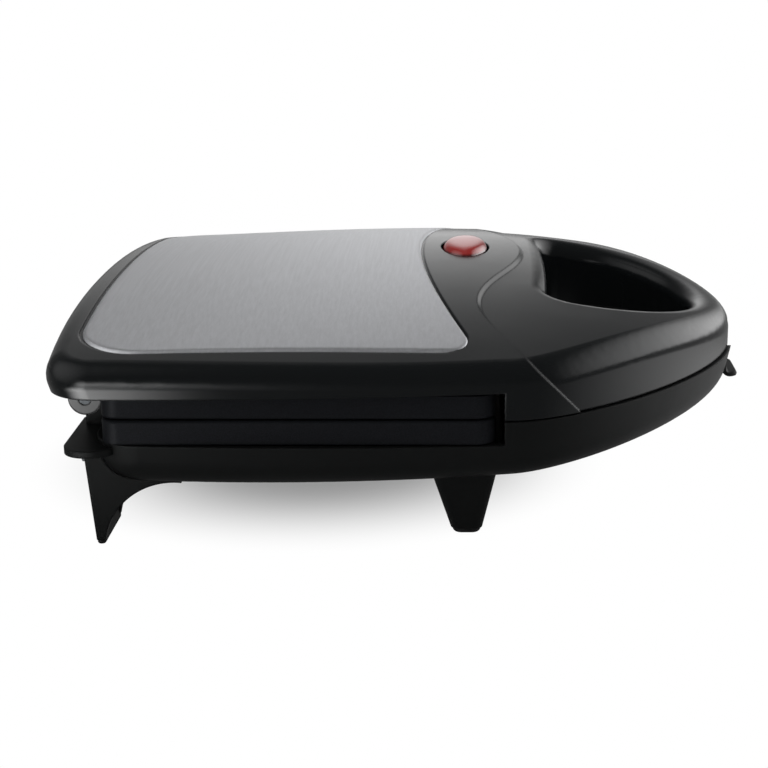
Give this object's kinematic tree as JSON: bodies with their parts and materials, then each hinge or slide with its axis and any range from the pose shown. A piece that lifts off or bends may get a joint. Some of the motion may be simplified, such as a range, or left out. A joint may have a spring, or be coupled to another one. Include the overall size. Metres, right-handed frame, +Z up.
{
  "type": "panini press",
  "caption": "Electric panini press: hinged domed lid with brushed steel panel and red pilot lens, ribbed plates, loop handle with front latch, base on raised feet.",
  "frame": {"origin": "centre of the bounding box on the floor plane", "axes": "+X to the front (handle and latch), +Y to the left side, +Z up"},
  "size_m": [0.236, 0.217, 0.0816],
  "materials": {
    "lid_black": "moulded gloss black, smooth",
    "base_black": "moulded black, satin",
    "trim_steel": "stainless sheet, brushed across",
    "lens_red": "translucent red moulding, polished",
    "neon_glass": "clear lamp glass",
    "holder_white": "heat-proof plastic",
    "plate_coating": "cast aluminium with black non-stick coating",
    "element_steel": "heat-tinted steel tube",
    "shield_aluminium": "bright rolled sheet",
    "thermostat_body": "ceramic-filled body",
    "fuse_metal": "plated can",
    "pad_rubber": "soft black rubber",
    "bush_rubber": "black rubber bush",
    "terminal_plastic": "pale nylon",
    "fastener_steel": "zinc-plated steel"
  },
  "bodies": {
    "base": {"base_shell": "base_black", "rear_stand_left": "base_black", "rear_stand_right": "base_black", "rear_stand_screws": "fastener_steel", "hinge_pin_left": "fastener_steel", "hinge_pin_right": "fastener_steel", "front_foot_left": "base_black", "front_foot_right": "base_black", "foot_pads": "pad_rubber", "lower_plate": "plate_coating", "lower_heating_element": "element_steel", "lower_heat_shield": "shield_aluminium", "lower_plate_screws": "fastener_steel", "base_handle_cover": "base_black", "base_cover_screws": "fastener_steel", "terminal_block": "terminal_plastic", "cord_inlet_bush": "bush_rubber"},
    "lid": {"lid_shell": "lid_black", "steel_trim": "trim_steel", "lamp_lens": "lens_red", "pilot_lamps": "neon_glass", "lamp_holder": "holder_white", "upper_plate": "plate_coating", "upper_heating_element": "element_steel", "upper_heat_shield": "shield_aluminium", "upper_plate_screws": "fastener_steel", "thermostat": "thermostat_body", "thermal_fuse": "fuse_metal", "lid_handle_cover": "base_black", "lid_cover_screws": "fastener_steel", "latch_pin": "fastener_steel"},
    "latch": {"latch_clip": "base_black"}
  },
  "joints": [
    {"name": "lid_hinge", "type": "hinge", "parent": "base", "child": "lid", "pos_m": [-0.104, 0, 0.0475], "axis": [0, -1, 0], "range_deg": [0, 95]},
    {"name": "latch_pivot", "type": "hinge", "parent": "lid", "child": "latch", "pos_m": [0.1099, 0, 0.0506], "axis": [0, -1, 0], "range_deg": [0, 60]}
  ]
}
